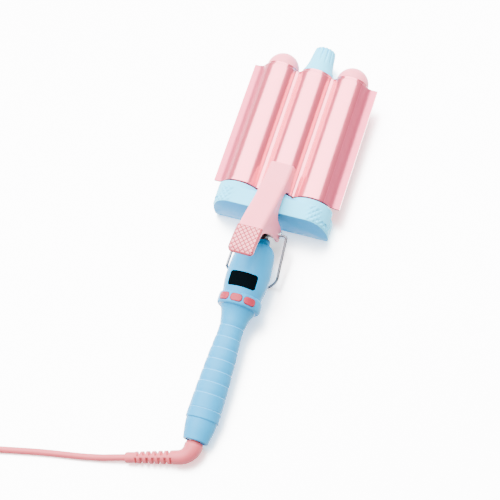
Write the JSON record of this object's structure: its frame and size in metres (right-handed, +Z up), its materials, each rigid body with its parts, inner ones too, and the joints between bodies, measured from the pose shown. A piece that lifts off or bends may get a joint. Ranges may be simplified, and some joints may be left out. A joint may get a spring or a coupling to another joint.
{
  "type": "hair crimper",
  "caption": "Hand-held hair crimper: parallel heated barrels under a corrugated spring clamp, turned handle with display and buttons, folding wire stand, swivel mains cord.",
  "frame": {"origin": "centre of the object's plan, on the surface it lies on, without its cord", "axes": "+Y along the barrels towards the cool tip, +X to the right seen from above with the tips ahead, +Z up, the side of the clamp and the display"},
  "size_m": [0.368, 0.6165, 0.0865],
  "materials": {
    "handle_plastic": "satin moulded",
    "guard_plastic": "fine matt moulded",
    "neck_plastic": "matt moulded",
    "coated_aluminium": "satin ceramic coating",
    "pink_plastic": "satin moulded",
    "coral_plastic": "matt moulded",
    "display_lens": "polished",
    "dark_plastic": "matt moulded",
    "circuit_board": "lacquered",
    "bare_aluminium": "extruded",
    "plated_steel": "zinc plated",
    "chromed_steel": "polished",
    "spring_steel": "oil dark",
    "cord_rubber": "smooth moulded"
  },
  "bodies": {
    "handle": {"handle_upper_shell": "handle_plastic", "handle_lower_shell": "handle_plastic", "button_collar": "handle_plastic", "display_lens": "display_lens", "display_module": "dark_plastic", "control_board": "circuit_board", "button_switches": "dark_plastic", "tail_cap": "handle_plastic", "hinge_neck": "neck_plastic", "heat_guard_upper": "guard_plastic", "heat_guard_lower": "guard_plastic", "barrel_mounting_plate": "plated_steel", "barrel_left": "coated_aluminium", "barrel_middle": "coated_aluminium", "barrel_right": "coated_aluminium", "barrel_cap_left": "pink_plastic", "barrel_cap_right": "pink_plastic", "cool_tip": "guard_plastic", "heater_left": "bare_aluminium", "heater_middle": "bare_aluminium", "heater_right": "bare_aluminium", "thermal_fuse": "dark_plastic", "temperature_probe": "dark_plastic", "heater_leads": "dark_plastic", "mains_leads": "dark_plastic", "guard_screws": "plated_steel", "handle_screws": "plated_steel", "hinge_pin": "chromed_steel", "torsion_spring": "spring_steel"},
    "clamp": {"clamp_plate": "coated_aluminium", "clamp_lever": "pink_plastic", "thumb_pad": "coral_plastic", "lever_rivets": "plated_steel"},
    "stand": {"stand_wire": "chromed_steel"},
    "minus": {"button_minus": "coral_plastic"},
    "power": {"button_power": "coral_plastic"},
    "plus": {"button_plus": "coral_plastic"},
    "cord_swivel": {"swivel_core": "cord_rubber", "strain_relief": "cord_rubber", "cord_lead": "cord_rubber", "cord_coil": "cord_rubber", "cord_tail": "cord_rubber", "plug_body": "cord_rubber", "plug_pins": "plated_steel"}
  },
  "joints": [
    {"name": "clamp_hinge", "type": "hinge", "parent": "handle", "child": "clamp", "pos_m": [0, 0.02, 0.0265], "axis": [1, 0, 0], "range_deg": [0, 26], "stiffness_Nm_per_rad": 0.6, "springref_deg": -28.65, "deforming": ["torsion_spring"]},
    {"name": "stand_hinge", "type": "hinge", "parent": "handle", "child": "stand", "pos_m": [0, 0.02, 0.0265], "axis": [1, 0, 0], "range_deg": [0, 80]},
    {"name": "minus_press", "type": "slide", "parent": "handle", "child": "minus", "axis": [0.6088, 0.0553, -0.7914], "range_m": [0, 0.0008], "stiffness_N_per_m": 400, "springref_m": -0.0005},
    {"name": "power_press", "type": "slide", "parent": "handle", "child": "power", "axis": [0, 0.0698, -0.9976], "range_m": [0, 0.0008], "stiffness_N_per_m": 400, "springref_m": -0.0005},
    {"name": "plus_press", "type": "slide", "parent": "handle", "child": "plus", "axis": [-0.6088, 0.0553, -0.7914], "range_m": [0, 0.0008], "stiffness_N_per_m": 400, "springref_m": -0.0005},
    {"name": "cord_swivel_turn", "type": "hinge", "parent": "handle", "child": "cord_swivel", "pos_m": [0, -0.18676, 0.01409], "axis": [0, -0.9976, -0.0698], "continuous": true}
  ]
}
